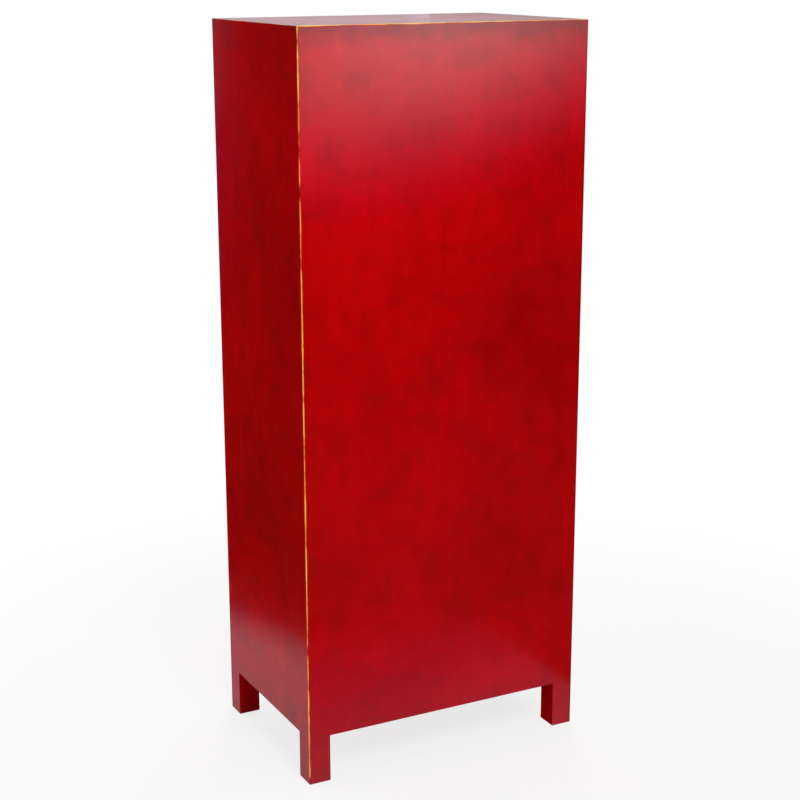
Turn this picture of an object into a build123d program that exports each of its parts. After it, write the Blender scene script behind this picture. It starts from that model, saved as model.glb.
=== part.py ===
from build123d import *
import os

# Tall lacquered wedding cabinet, in millimetres.
#
# Four square posts run down as the legs.  Rails are tenoned between them, flush panels close the
# sides and the back, two doors turn on wooden pivots above two drawers, and a sliding pin locks the
# doors at a round brass plate.
#
# X runs from left to right as someone facing the doors sees it, -Y is the front, +Y the back, and
# +Z is up.  The origin is on the floor, under the middle of everything including the hardware.

# ---------------------------------------------------------------- carcass
width = 750.0
depth = 500.0
height = 1800.0

post_size = 56.0  # square corner posts, which are also the legs
post_round = 2.5  # rounding of the outer corners of posts and top
foot_chamfer = 2.0  # eased edge under each foot

top_thick = 12.0  # top board, which covers the whole plan
top_round = 1.2  # eased upper edge of the top board
panel_foot = 120.0  # floor to the lower edge of the panels and bottom rails
panel_thick = 12.0
panel_lap = 12.0  # how far a panel's edge lies in the rebate of a post

rail_thick = 30.0  # side and back rails, behind their panels
front_rail_thick = 40.0
top_rail_high = 50.0
middle_rail_high = 40.0
bottom_rail_high = 50.0
tenon_thick = 10.0
tenon_length = 22.0
tenon_shoulder = 6.0  # step above and below each tenon

floor_thick = 12.0
dust_board_thick = 8.0
dust_board_groove = 8.0  # how far the dust board enters the bottom rails

shelf_height = 1010.0  # floor to the top of the shelf
shelf_thick = 15.0
shelf_set_back = 12.0  # front edge of the shelf behind the doors
cleat_high = 25.0
loose_gap = 1.0  # around the lift-out shelf

# ---------------------------------------------------------------- doors
door_recess = 3.0  # faces of doors and drawers behind the faces of the posts
door_thick = 22.0
door_gap = 1.5  # around a door, except between the two
meeting_gap = 2.0
stile_wide = 52.0
door_rail_high = 64.0
door_tenon = 30.0
groove_thick = 6.0
groove_deep = 9.0
groove_set_back = 5.0  # from a door's face to the groove
door_panel_thick = 14.0
front_edge_round = 1.0  # eased edges where the doors meet and around the drawer fronts
panel_seam = 0.3  # hairline between a door's panel and its frame
tongue_gap = 1.0  # room for the panel to swell in its groove

pivot_d = 16.0
pivot_clearance = 0.05  # radial, a turned pivot in a bored socket
upper_pivot = 12.0
lower_pivot = 8.0
pivot_end_gap = 0.2
stop_thick = 12.0
stop_high = 16.0
stop_gap = 0.5  # between a closed door and what stops it

# ---------------------------------------------------------------- drawers
drawer_opening = 170.0
drawer_gap = 1.5
slide_gap = 0.3  # under each drawer, above its runners
drawer_stile_wide = 30.0
drawer_front_thick = 20.0
drawer_wall = 12.0
drawer_side_high = 148.0
drawer_bottom_thick = 6.0
drawer_bottom_lift = 8.0  # from a side's lower edge to the groove for the bottom
drawer_groove = 5.0
drawer_rebate = 8.0  # how far the sides enter the front
drawer_end_gap = 5.0  # behind a closed drawer
runner_wide = 30.0
runner_high = 20.0
guide_high = 30.0

# ---------------------------------------------------------------- brass
plate_radius = 130.0
plate_thick = 1.5
plate_rim_wide = 5.0
plate_rim_rise = 1.0
boss_radius = 38.0  # raised ring around the nearest lugs
lug_thick = 5.0
lug_high = 34.0
lug_out = 22.0  # from the plate's face
lug_round = 4.0
lug_near = 20.0  # meeting line to the middle of the nearest lug, on either door
lug_spacing = 50.0
tang_thick = 3.0
tang_high = 12.0
tang_deep = 14.0  # into the door
pin_d = 8.0
pin_clearance = 0.3
pin_out = 13.0  # axis of the pin from the plate's face
pin_tip_gap = 4.0  # drawn pin behind the meeting line
pin_overshoot = 8.0  # locked pin past the last lug
pin_dome = 2.0
collar_d = 15.0
collar_wide = 7.0
collar_gap = 0.5

pull_plate_radius = 32.0
pull_plate_thick = 1.5
pull_boss_radius = 13.0
pull_boss_rise = 1.0
eyelet_out = 11.0  # from the pull plate's face to the middle of the eye
eyelet_radius = 6.0
eyelet_wire = 4.0
pull_ring_radius = 24.0
pull_ring_wire = 5.0
stem_d = 4.0
stem_clinch = 2.0  # stem left proud inside the drawer
clinch_d = 9.0

# ---------------------------------------------------------------- places that follow
hardware_out = plate_thick + lug_out - door_recess  # furthest reach in front of the posts
front = (hardware_out - depth) / 2
back = (hardware_out + depth) / 2
half_width = width / 2
post_inner = half_width - post_size
post_front = front + post_size
post_back = back - post_size
panel_inner = half_width - panel_thick
back_inner = back - panel_thick
post_top = height - top_thick

front_rail_back = front + front_rail_thick
side_rail_inner = panel_inner - rail_thick
back_rail_front = back_inner - rail_thick

bottom_rail_top = panel_foot + bottom_rail_high
middle_rail_low = bottom_rail_top + drawer_opening
middle_rail_top = middle_rail_low + middle_rail_high
top_rail_low = post_top - top_rail_high
runner_low = bottom_rail_top - runner_high
dust_board_low = runner_low - dust_board_thick

door_face = front + door_recess
door_back = door_face + door_thick
door_axis = door_face + door_thick / 2
door_low = middle_rail_top + door_gap
door_high = top_rail_low - door_gap
door_outer = post_inner - door_gap
door_inner = meeting_gap / 2
pivot_x = door_outer - door_thick / 2
stop_face = door_back + stop_gap
hole_r = pivot_d / 2 + pivot_clearance
plate_face = door_face - plate_thick
plate_z = (door_low + door_high) / 2

pin_y = plate_face - pin_out
far_lug = lug_near + lug_spacing
pin_travel = pin_tip_gap + lug_near + lug_thick / 2 + pin_overshoot
pin_reach = far_lug + lug_thick / 2 + collar_gap + pin_travel - pin_tip_gap  # collar to tip

drawer_face = front + door_recess
drawer_inner = drawer_stile_wide / 2 + drawer_gap
drawer_outer = post_inner - drawer_gap
drawer_low = bottom_rail_top + slide_gap
drawer_rear = back_rail_front - drawer_end_gap
pull_x = (drawer_inner + drawer_outer) / 2
pull_z = bottom_rail_top + drawer_opening / 2
pull_face = drawer_face - pull_plate_thick
pull_y = pull_face - eyelet_out

hands = {"left": -1, "right": 1}


def block(x, y, z, mode=Mode.ADD):
    """Add or cut a rectangular block between the two values given along each axis."""
    with BuildSketch(Plane.XY.offset(min(z))) as plan:
        with Locations(((x[0] + x[1]) / 2, (y[0] + y[1]) / 2)):
            Rectangle(abs(x[1] - x[0]), abs(y[1] - y[0]))
    extrude(plan.sketch, amount=abs(z[1] - z[0]), mode=mode)


def rod(centre, radius, length, mode=Mode.ADD):
    """Add or cut an upright round rod that rises by length from centre."""
    with BuildSketch(Plane.XY.offset(centre[2])) as plan:
        with Locations(centre[:2]):
            Circle(radius)
    extrude(plan.sketch, amount=length, mode=mode)


def facing_front(y, x=0.0, z=0.0):
    """A plane at depth y whose sketch x is X, sketch y is Z, and whose normal points forwards."""
    return Plane(origin=(x, y, z), x_dir=(1, 0, 0), z_dir=(0, -1, 0))


def finish(piece, name):
    """Label one finished piece and write it."""
    piece.part.label = name
    export_step(piece.part, f"parts/{name}.step")


def middle(low, high, size):
    """A span of the given size, centred between low and high."""
    centre = (low + high) / 2
    return (centre - size / 2, centre + size / 2)


os.makedirs("parts", exist_ok=True)

# Underside and top of every level that has a rail, and of the shelf's cleats.
cross_rails = {
    "top": (top_rail_low, post_top),
    "middle": (middle_rail_low, middle_rail_top),
    "bottom": (panel_foot, bottom_rail_top),
}
side_rails = {
    "top_rail": (top_rail_low, post_top),
    "bottom_rail": (panel_foot, bottom_rail_top),
    "shelf_cleat": (shelf_height - shelf_thick - cleat_high, shelf_height - shelf_thick),
}
cross_rail_y = {
    "front": (front, front_rail_back),
    "back": (back_rail_front, back_inner),
}


def tenon_span(level):
    """Height of the tenon of a rail that fills the given level."""
    return (level[0] + tenon_shoulder, level[1] - tenon_shoulder)


def cut_dust_board_groove(x, y):
    """Plough the groove for the dust board along a bottom rail."""
    block(x, y, (dust_board_low, dust_board_low + dust_board_thick), Mode.SUBTRACT)


# ---------------------------------------------------------------- posts
for end, (post_y0, post_y1) in {"front": (front, post_front), "back": (post_back, back)}.items():
    for hand, side in hands.items():
        outer_x = side * half_width
        inner_x = side * post_inner
        open_y = post_y1 if end == "front" else post_y0  # face of the post towards the side rails
        into_post = -1 if end == "front" else 1
        with BuildPart() as post:
            block((inner_x, outer_x), (post_y0, post_y1), (0, post_top))
            corners = post.edges().filter_by(Axis.Z).group_by(Axis.X)[0 if side < 0 else -1]
            outer_corner = corners.sort_by(Axis.Y)[0 if end == "front" else -1]
            fillet(outer_corner, post_round)
            chamfer(post.faces().sort_by(Axis.Z)[0].edges(), foot_chamfer)
            # rebate for the side panel
            block(
                (side * panel_inner, outer_x),
                (open_y + into_post * panel_lap, open_y),
                (panel_foot, post_top),
                Mode.SUBTRACT,
            )
            if end == "back":
                block(
                    (inner_x, side * (post_inner + panel_lap)),
                    (back_inner, back),
                    (panel_foot, post_top),
                    Mode.SUBTRACT,
                )
            for level in cross_rails.values():
                block(
                    (inner_x, inner_x + side * tenon_length),
                    middle(*cross_rail_y[end], tenon_thick),
                    tenon_span(level),
                    Mode.SUBTRACT,
                )
            for level in side_rails.values():
                tenon_low, tenon_high = middle(side_rail_inner, panel_inner, tenon_thick)
                block(
                    (side * tenon_low, side * tenon_high),
                    (open_y, open_y + into_post * tenon_length),
                    tenon_span(level),
                    Mode.SUBTRACT,
                )
        finish(post, f"{end}_{hand}_post")

# ---------------------------------------------------------------- rails across the width
for end, rail_y in cross_rail_y.items():
    for level_name, level in cross_rails.items():
        with BuildPart() as rail:
            block((-post_inner, post_inner), rail_y, level)
            block(
                (-post_inner - tenon_length, post_inner + tenon_length),
                middle(*rail_y, tenon_thick),
                tenon_span(level),
            )
            if level_name == "bottom":
                groove_face = front_rail_back if end == "front" else back_rail_front
                into_rail = -1 if end == "front" else 1
                cut_dust_board_groove(
                    (-post_inner, post_inner),
                    (groove_face, groove_face + into_rail * dust_board_groove),
                )
            if end == "front":
                for side in hands.values():
                    if level_name == "top":
                        socket = upper_pivot + door_gap
                        rod((side * pivot_x, door_axis, top_rail_low), hole_r, socket, Mode.SUBTRACT)
                    if level_name == "middle":
                        socket = lower_pivot - door_gap + pivot_end_gap
                        socket_floor = (side * pivot_x, door_axis, middle_rail_top - socket)
                        rod(socket_floor, hole_r, socket, Mode.SUBTRACT)
        finish(rail, f"{end}_{level_name}_rail")

# ---------------------------------------------------------------- rails and cleats along the sides
for hand, side in hands.items():
    for rail_name, level in side_rails.items():
        with BuildPart() as rail:
            block((side * side_rail_inner, side * panel_inner), (post_front, post_back), level)
            tenon_low, tenon_high = middle(side_rail_inner, panel_inner, tenon_thick)
            block(
                (side * tenon_low, side * tenon_high),
                (post_front - tenon_length, post_back + tenon_length),
                tenon_span(level),
            )
            if rail_name == "bottom_rail":
                cut_dust_board_groove(
                    (side * side_rail_inner, side * (side_rail_inner + dust_board_groove)),
                    (post_front, post_back),
                )
        finish(rail, f"{hand}_{rail_name}")

# ---------------------------------------------------------------- panels and top
for hand, side in hands.items():
    with BuildPart() as side_panel:
        block(
            (side * panel_inner, side * half_width),
            (post_front - panel_lap, post_back + panel_lap),
            (panel_foot, post_top),
        )
    finish(side_panel, f"{hand}_side_panel")

with BuildPart() as back_panel:
    block(
        (-post_inner - panel_lap, post_inner + panel_lap),
        (back_inner, back),
        (panel_foot, post_top),
    )
finish(back_panel, "back_panel")

with BuildPart() as top_board:
    block((-half_width, half_width), (front, back), (post_top, height))
    fillet(top_board.edges().filter_by(Axis.Z), post_round)
    fillet(top_board.faces().sort_by(Axis.Z)[-1].edges(), top_round)
finish(top_board, "top_board")


# ---------------------------------------------------------------- boards inside
def notched_board(name, half_span, y, z, gap):
    """A board across the inside, notched around each post that it meets, with gap to spare."""
    with BuildPart() as board:
        block((-half_span, half_span), y, z)
        for side in hands.values():
            notch_x = (side * (post_inner - gap), side * half_width)
            block(notch_x, (front, post_front + gap), z, Mode.SUBTRACT)
            block(notch_x, (post_back - gap, back), z, Mode.SUBTRACT)
    finish(board, name)


notched_board(
    "dust_board",
    side_rail_inner + dust_board_groove,
    (front_rail_back - dust_board_groove, back_rail_front + dust_board_groove),
    (dust_board_low, runner_low),
    0,
)
notched_board(
    "compartment_floor",
    panel_inner,
    (stop_face, back_inner),
    (middle_rail_top, middle_rail_top + floor_thick),
    0,
)
notched_board(
    "shelf",
    panel_inner - loose_gap,
    (stop_face + shelf_set_back, back_inner - loose_gap),
    (shelf_height - shelf_thick, shelf_height),
    loose_gap,
)

with BuildPart() as door_stop:
    block(
        (-post_inner, post_inner),
        (stop_face, stop_face + stop_thick),
        (top_rail_low - stop_high, top_rail_low),
    )
finish(door_stop, "door_stop")

# ---------------------------------------------------------------- drawer frame
with BuildPart() as drawer_stile:
    block(
        middle(0, 0, drawer_stile_wide),
        (front, front_rail_back),
        (bottom_rail_top, middle_rail_low),
    )
finish(drawer_stile, "drawer_stile")

with BuildPart() as drawer_guide:
    block(
        middle(0, 0, drawer_stile_wide),
        (front_rail_back, back_rail_front),
        (bottom_rail_top, bottom_rail_top + guide_high),
    )
finish(drawer_guide, "drawer_guide")

runners = {
    "left_drawer_runner": (-post_inner, -post_inner + runner_wide),
    "centre_drawer_runner": middle(0, 0, drawer_stile_wide + 2 * runner_wide),
    "right_drawer_runner": (post_inner - runner_wide, post_inner),
}
for runner_name, runner_x in runners.items():
    with BuildPart() as runner:
        block(runner_x, (front_rail_back, back_rail_front), (runner_low, bottom_rail_top))
    finish(runner, runner_name)

# ---------------------------------------------------------------- doors
groove_y = (door_face + groove_set_back, door_face + groove_set_back + groove_thick)
stile_inner_x = {
    "hinge": door_outer - stile_wide,
    "meeting": door_inner + stile_wide,
}
panel_low = door_low + door_rail_high
panel_high = door_high - door_rail_high
door_rails = {"bottom": (door_low, panel_low), "top": (panel_high, door_high)}
# a rail's tenon stops at the bottom of the groove that runs round the panel
door_tenons = {
    "bottom": (door_low + tenon_shoulder, panel_low - groove_deep),
    "top": (panel_high + groove_deep, door_high - tenon_shoulder),
}
groove_z = (panel_low - groove_deep, panel_high + groove_deep)



def cut_tang_slot(x, y):
    """Cut the slot, from depth y into the door, that holds the tang of the lug at x."""
    block(
        middle(x, x, tang_thick),
        (y, door_face + tang_deep),
        middle(plate_z, plate_z, tang_high),
        Mode.SUBTRACT,
    )


for hand, side in hands.items():
    with BuildPart() as hinge_stile:
        block(
            (side * stile_inner_x["hinge"], side * pivot_x),
            (door_face, door_back),
            (door_low, door_high),
        )
        rod((side * pivot_x, door_axis, door_low), door_thick / 2, door_high - door_low)
        rod((side * pivot_x, door_axis, door_high), pivot_d / 2, upper_pivot)
        rod((side * pivot_x, door_axis, door_low - lower_pivot), pivot_d / 2, lower_pivot)
        block(
            (side * stile_inner_x["hinge"], side * (stile_inner_x["hinge"] + groove_deep)),
            groove_y,
            groove_z,
            Mode.SUBTRACT,
        )
        for tenon_z in door_tenons.values():
            block(
                (side * stile_inner_x["hinge"], side * (stile_inner_x["hinge"] + door_tenon)),
                groove_y,
                tenon_z,
                Mode.SUBTRACT,
            )
    finish(hinge_stile, f"{hand}_door_hinge_stile")

    lugs = [lug_near, far_lug] if hand == "left" else [lug_near]
    with BuildPart() as meeting_stile:
        block(
            (side * door_inner, side * stile_inner_x["meeting"]),
            (door_face, door_back),
            (door_low, door_high),
        )
        meeting_face = meeting_stile.faces().filter_by(Axis.X).sort_by(Axis.X)[-1 if side < 0 else 0]
        fillet(meeting_face.edges().filter_by(Axis.Z), front_edge_round)
        block(
            (side * stile_inner_x["meeting"], side * (stile_inner_x["meeting"] - groove_deep)),
            groove_y,
            groove_z,
            Mode.SUBTRACT,
        )
        for tenon_z in door_tenons.values():
            block(
                (side * stile_inner_x["meeting"], side * (stile_inner_x["meeting"] - door_tenon)),
                groove_y,
                tenon_z,
                Mode.SUBTRACT,
            )
        for lug in lugs:
            cut_tang_slot(side * lug, door_face)
    finish(meeting_stile, f"{hand}_door_meeting_stile")

    for rail_name, level in door_rails.items():
        with BuildPart() as door_rail:
            block(
                (side * stile_inner_x["meeting"], side * stile_inner_x["hinge"]),
                (door_face, door_back),
                level,
            )
            block(
                (side * stile_inner_x["meeting"], side * stile_inner_x["hinge"]),
                groove_y,
                groove_z,
                Mode.SUBTRACT,
            )
            for shoulder, outwards in (("meeting", -1), ("hinge", 1)):
                shoulder_x = stile_inner_x[shoulder]
                block(
                    (side * shoulder_x, side * (shoulder_x + outwards * door_tenon)),
                    groove_y,
                    door_tenons[rail_name],
                )
        finish(door_rail, f"{hand}_door_{rail_name}_rail")

    tongue = groove_deep - tongue_gap
    with BuildPart() as door_panel:
        block(
            (
                side * (stile_inner_x["meeting"] + panel_seam),
                side * (stile_inner_x["hinge"] - panel_seam),
            ),
            (door_face, door_face + door_panel_thick),
            (panel_low + panel_seam, panel_high - panel_seam),
        )
        block(
            (
                side * (stile_inner_x["meeting"] - tongue),
                side * (stile_inner_x["hinge"] + tongue),
            ),
            groove_y,
            (panel_low - tongue, panel_high + tongue),
        )
        for lug in lugs:
            cut_tang_slot(side * lug, door_face)
    finish(door_panel, f"{hand}_door_panel")

    # half of the round lock plate, with a raised rim and a raised ring around the lugs
    with BuildPart() as lock_plate:
        with BuildSketch(facing_front(door_face, z=plate_z)):
            Circle(plate_radius)
        extrude(amount=plate_thick)
        with BuildSketch(facing_front(plate_face, z=plate_z)):
            for radius in (plate_radius, boss_radius):
                Circle(radius)
                Circle(radius - plate_rim_wide, mode=Mode.SUBTRACT)
        extrude(amount=plate_rim_rise)
        block(
            (side * door_inner, -side * plate_radius),
            (door_face, plate_face - plate_rim_rise),
            (plate_z - plate_radius, plate_z + plate_radius),
            Mode.SUBTRACT,
        )
        for lug in lugs:
            cut_tang_slot(side * lug, plate_face)
    finish(lock_plate, f"{hand}_lock_plate")

    # lugs that the lock pin slides through
    with BuildPart() as lock_lugs:
        for lug in lugs:
            lug_x = middle(side * lug, side * lug, lug_thick)
            lug_plane = Plane(
                origin=(lug_x[0], plate_face - lug_out / 2, plate_z), x_dir=(0, 1, 0), z_dir=(1, 0, 0)
            )
            with BuildSketch(lug_plane) as outline:
                Rectangle(lug_out, lug_high)
                fillet(outline.vertices().group_by(Axis.X)[0], lug_round)
                with Locations((lug_out / 2 - pin_out, 0)):
                    Circle(pin_d / 2 + pin_clearance, mode=Mode.SUBTRACT)
            extrude(amount=lug_thick)
            block(
                middle(side * lug, side * lug, tang_thick),
                (plate_face, door_face + tang_deep),
                middle(plate_z, plate_z, tang_high),
            )
    finish(lock_lugs, "left_lock_lugs" if hand == "left" else "right_lock_lug")

# the pin is drawn back to the left of the meeting line
tip_x = -door_inner - pin_tip_gap
with BuildPart() as lock_pin:
    with BuildSketch(Plane(origin=(tip_x, pin_y, plate_z), z_dir=(-1, 0, 0))):
        Circle(pin_d / 2)
    extrude(amount=pin_reach)
    fillet(lock_pin.edges().sort_by(Axis.X)[-1], pin_dome)
    with BuildSketch(Plane(origin=(tip_x - pin_reach, pin_y, plate_z), z_dir=(-1, 0, 0))):
        Circle(collar_d / 2)
    extrude(amount=collar_wide)
finish(lock_pin, "lock_pin")

# ---------------------------------------------------------------- drawers
side_y = (drawer_face + drawer_front_thick - drawer_rebate, drawer_rear)
inside_y = (drawer_face + drawer_front_thick, drawer_rear - drawer_wall)
wall_z = (drawer_low, drawer_low + drawer_side_high)
bottom_z = (
    drawer_low + drawer_bottom_lift,
    drawer_low + drawer_bottom_lift + drawer_bottom_thick,
)

for hand, side in hands.items():
    wall_x = {
        "inner": (side * drawer_inner, side * (drawer_inner + drawer_wall)),
        "outer": (side * (drawer_outer - drawer_wall), side * drawer_outer),
    }
    inside_x = (side * (drawer_inner + drawer_wall), side * (drawer_outer - drawer_wall))
    bottom_x = (
        side * (drawer_inner + drawer_wall - drawer_groove),
        side * (drawer_outer - drawer_wall + drawer_groove),
    )
    bottom_y = (inside_y[0] - drawer_groove, inside_y[1] + drawer_groove)

    with BuildPart() as drawer_front:
        block(
            (side * drawer_inner, side * drawer_outer),
            (drawer_face, drawer_face + drawer_front_thick),
            (drawer_low, middle_rail_low - drawer_gap),
        )
        fillet(drawer_front.faces().sort_by(Axis.Y)[0].edges(), front_edge_round)
        for span in wall_x.values():
            block(span, (side_y[0], inside_y[0]), wall_z, Mode.SUBTRACT)
        block(inside_x, bottom_y, bottom_z, Mode.SUBTRACT)
        with BuildSketch(facing_front(drawer_face, side * pull_x, pull_z)):
            Circle(stem_d / 2)
        extrude(amount=-drawer_front_thick, mode=Mode.SUBTRACT)
    finish(drawer_front, f"{hand}_drawer_front")

    for wall_name, span in wall_x.items():
        with BuildPart() as drawer_side:
            block(span, side_y, wall_z)
            block(bottom_x, (inside_y[0], inside_y[1] + drawer_groove), bottom_z, Mode.SUBTRACT)
        finish(drawer_side, f"{hand}_drawer_{wall_name}_side")

    with BuildPart() as drawer_back:
        block(inside_x, (inside_y[1], drawer_rear), wall_z)
        block(bottom_x, bottom_y, bottom_z, Mode.SUBTRACT)
    finish(drawer_back, f"{hand}_drawer_back")

    with BuildPart() as drawer_bottom:
        block(inside_x, bottom_y, bottom_z)
        block(bottom_x, (inside_y[0], inside_y[1] + drawer_groove), bottom_z)
    finish(drawer_bottom, f"{hand}_drawer_bottom")

    # round back plate, eyelet with a clinched stem, and the ring that hangs in the eye
    with BuildPart() as pull_plate:
        with BuildSketch(facing_front(drawer_face, side * pull_x, pull_z)):
            Circle(pull_plate_radius)
        extrude(amount=pull_plate_thick)
        with BuildSketch(facing_front(pull_face, side * pull_x, pull_z)):
            Circle(pull_boss_radius)
        extrude(amount=pull_boss_rise)
        with BuildSketch(facing_front(drawer_face, side * pull_x, pull_z)):
            Circle(stem_d / 2)
        extrude(amount=pull_plate_thick + pull_boss_rise, mode=Mode.SUBTRACT)
    finish(pull_plate, f"{hand}_pull_plate")

    stem_root = pull_y + eyelet_radius
    clinch_y = drawer_face + drawer_front_thick + stem_clinch
    with BuildPart() as pull_eyelet:
        eye = Plane(origin=(side * pull_x, pull_y, pull_z), x_dir=(0, 1, 0), z_dir=(1, 0, 0))
        with Locations(eye):
            Torus(eyelet_radius, eyelet_wire / 2)
        with BuildSketch(facing_front(clinch_y, side * pull_x, pull_z)):
            Circle(stem_d / 2)
        extrude(amount=clinch_y - stem_root)
        with BuildSketch(facing_front(clinch_y, side * pull_x, pull_z)):
            Circle(clinch_d / 2)
        extrude(amount=stem_clinch)
    finish(pull_eyelet, f"{hand}_pull_eyelet")

    with BuildPart() as pull_ring:
        with Locations(facing_front(pull_y, side * pull_x, pull_z - pull_ring_radius)):
            Torus(pull_ring_radius, pull_ring_wire / 2)
    finish(pull_ring, f"{hand}_pull_ring")
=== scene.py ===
import math

import bmesh
import bpy
from mathutils import Euler, Matrix, Vector


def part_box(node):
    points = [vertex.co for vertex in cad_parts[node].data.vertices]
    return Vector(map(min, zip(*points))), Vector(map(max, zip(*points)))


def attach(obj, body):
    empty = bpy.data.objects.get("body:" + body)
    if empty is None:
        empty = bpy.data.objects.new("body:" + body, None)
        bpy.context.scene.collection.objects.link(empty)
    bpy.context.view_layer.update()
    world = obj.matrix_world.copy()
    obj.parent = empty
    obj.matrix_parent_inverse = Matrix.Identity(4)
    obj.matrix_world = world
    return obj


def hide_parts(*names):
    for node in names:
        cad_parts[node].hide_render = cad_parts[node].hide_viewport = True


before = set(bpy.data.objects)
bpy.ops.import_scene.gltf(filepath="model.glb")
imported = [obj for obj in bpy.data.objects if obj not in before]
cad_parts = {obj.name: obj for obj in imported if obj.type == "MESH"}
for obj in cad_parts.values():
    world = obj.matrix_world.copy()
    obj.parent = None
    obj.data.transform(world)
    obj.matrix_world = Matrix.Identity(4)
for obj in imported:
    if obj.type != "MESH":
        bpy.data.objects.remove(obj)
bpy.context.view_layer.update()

bl_info = {
    "name": "Lacquered wedding cabinet",
    "version": (1, 0, 0),
    "blender": (4, 5, 0),
    "location": "3D View > Sidebar > Cabinet",
    "description": "Dresses a tall lacquered cabinet: lacquer, wood, brass and a studio",
    "category": "Object",
}

MM = 0.001
HANDS = {"left": -1, "right": 1}

# The cabinet's faces, read from its solids.
TOP_LOW, TOP_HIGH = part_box("top_board")
PANEL_LOW, PANEL_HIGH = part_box("back_panel")
SIDE_LOW, SIDE_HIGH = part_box("right_side_panel")
HALF_WIDTH = TOP_HIGH.x
FRONT = TOP_LOW.y
BACK = TOP_HIGH.y
HEIGHT = TOP_HIGH.z
POST_TOP = TOP_LOW.z


def linear(hex_colour):
    """Linear RGBA of an sRGB hex colour."""
    channels = [int(hex_colour[i : i + 2], 16) / 255 for i in (1, 3, 5)]
    return [c / 12.92 if c <= 0.04045 else ((c + 0.055) / 1.055) ** 2.4 for c in channels] + [1.0]


def colour(name, hex_colour, description):
    """A colour setting whose default is an sRGB hex colour."""
    return bpy.props.FloatVectorProperty(
        name=name,
        description=description,
        subtype="COLOR",
        size=4,
        min=0.0,
        max=1.0,
        default=linear(hex_colour),
    )


def length(name, millimetres, description):
    """A length setting, given in millimetres and kept in metres."""
    return bpy.props.FloatProperty(
        name=name, description=description, default=millimetres * MM, min=0.0, unit="LENGTH"
    )


def share(name, default, description, maximum=1.0):
    """A plain number setting."""
    return bpy.props.FloatProperty(
        name=name, description=description, default=default, min=0.0, max=maximum, subtype="FACTOR"
    )


# ---------------------------------------------------------------- settings
class CabinetLacquer(bpy.types.PropertyGroup):
    bright: colour("Bright red", "#C90005", "Lacquer where its coats are thin")
    deep: colour("Deep red", "#9B0000", "Lacquer where its coats are thick")
    gold: colour("Gold", "#FFC646", "Gilt ground where an edge is rubbed through")
    orange: colour("Orange", "#F27E22", "Half-rubbed coat beside the gilt")
    cloud: length("Cloud", 85.0, "Width of the soft clouds in the lacquer")
    smudge: share("Smudges", 0.4, "Depth of the dark smudges in the lacquer")
    # The dark band beside the edges is painted shade, widest below the back's top edge.
    edge_shade: share("Patina", 0.52, "Darkness of the old polish beside the edges")
    rub: share("Rubbing", 1.0, "How far the edges are rubbed through to the gilt", 3.0)
    gloss: share("Roughness", 0.14, "Roughness of the polished lacquer")


class CabinetWood(bpy.types.PropertyGroup):
    stain_dark: colour("Stain, dark grain", "#22120B", "Dark streaks of the stained boards")
    stain_light: colour("Stain, light grain", "#4A2A1A", "Ground of the stained boards")
    bare_dark: colour("Elm, dark grain", "#8F6238", "Dark streaks of the bare elm")
    bare_light: colour("Elm, light grain", "#C89C66", "Ground of the bare elm")
    grain: length("Grain", 6.0, "Width of a streak of grain")


class CabinetBrass(bpy.types.PropertyGroup):
    metal: colour("Brass", "#E4BC70", "Brass where hands keep it clean")
    tarnish: colour("Tarnish", "#86602E", "Brass that has darkened")
    nail: length("Nail", 10.0, "Diameter of the lock plate's nail heads")
    small_nail: length("Small nail", 5.0, "Diameter of the pull plates' nail heads")
    bead: length("Bead", 3.2, "Diameter of the punched beads near the rim")


class CabinetStudio(bpy.types.PropertyGroup):
    floor: colour("Floor", "#F4F3F1", "Pale seamless paper")
    lens: bpy.props.FloatProperty(
        name="Lens", description="Focal length", default=75.46, min=1.0, unit="CAMERA"
    )
    key: bpy.props.FloatProperty(
        name="Key", description="Power of the large soft lamp", default=40.0, min=0.0, unit="POWER"
    )
    air: share("Air", 0.3, "Brightness of the light from all round")


# ---------------------------------------------------------------- node building
def add(tree, kind, inputs=(), **settings):
    """Add a node; its inputs are given by name or place, as a value or as what feeds them."""
    made = tree.nodes.new("ShaderNode" + kind)
    for setting, value in settings.items():
        setattr(made, setting, value)
    for socket, value in dict(inputs).items():
        live = [s for s in made.inputs if s.enabled]
        if isinstance(socket, int):
            target = live[socket]
        else:
            target = next(s for s in live if s.name == socket)
        if isinstance(value, bpy.types.Node):
            value = next(s for s in value.outputs if s.enabled)
        if isinstance(value, bpy.types.NodeSocket):
            tree.links.new(value, target)
        else:
            target.default_value = value
    return made


def material(name):
    """A new node material, and its empty tree."""
    made = bpy.data.materials.new(name)
    made.use_nodes = True
    made.node_tree.nodes.clear()
    return made, made.node_tree


def close(tree, shader):
    """Join the shader to the material's output."""
    add(tree, "OutputMaterial", {"Surface": shader})


# ---------------------------------------------------------------- lacquer
# Weights of the soft clouds and of the brush strokes in the thickness of the coats.
CLOUD_WEIGHT, STROKE_WEIGHT = 0.66, 0.14

# Broad swells of lighter and darker red, 0.3 to 0.5 m wide, each cut from its own part of the
# noise: weight, width in metres, start in the noise.
BROAD_SWELLS = [
    (0.47, 0.493, (-2.201, 10.1, 15.111)),
    (0.24, 0.336, (27.201, -13.191, -33.678)),
    (0.19, 0.295, (-21.722, -6.01, -2.753)),
]

# The sum of the coats gives the deep red this far under its middle, and the bright red this far
# over it.
COAT_REACH = 0.17

SMUDGE_RED = "#4A0000"
# Painted shade beside the edges.
EDGE_SHADE_RED = "#5C0006"
SEAM_RED = "#3A0000"

# Lengths over which the gilt widens and narrows along its edge, turns from gold to orange, and
# comes in above its lower end.
GILT_WANDER, GILT_TURN, GILT_START = 60 * MM, 220 * MM, 25 * MM

# A hairline between boards: how far from the seam its core and its edge lie, and the width of the
# places where the lacquer has filled it.
HAIRLINE_CORE, HAIRLINE_EDGE, HAIRLINE_FILL = 0.3 * MM, 1.6 * MM, 60 * MM

# Width of the orange peel; the real one is finer, and is drawn this coarse so that it shows.
PEEL = 7 * MM

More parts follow.
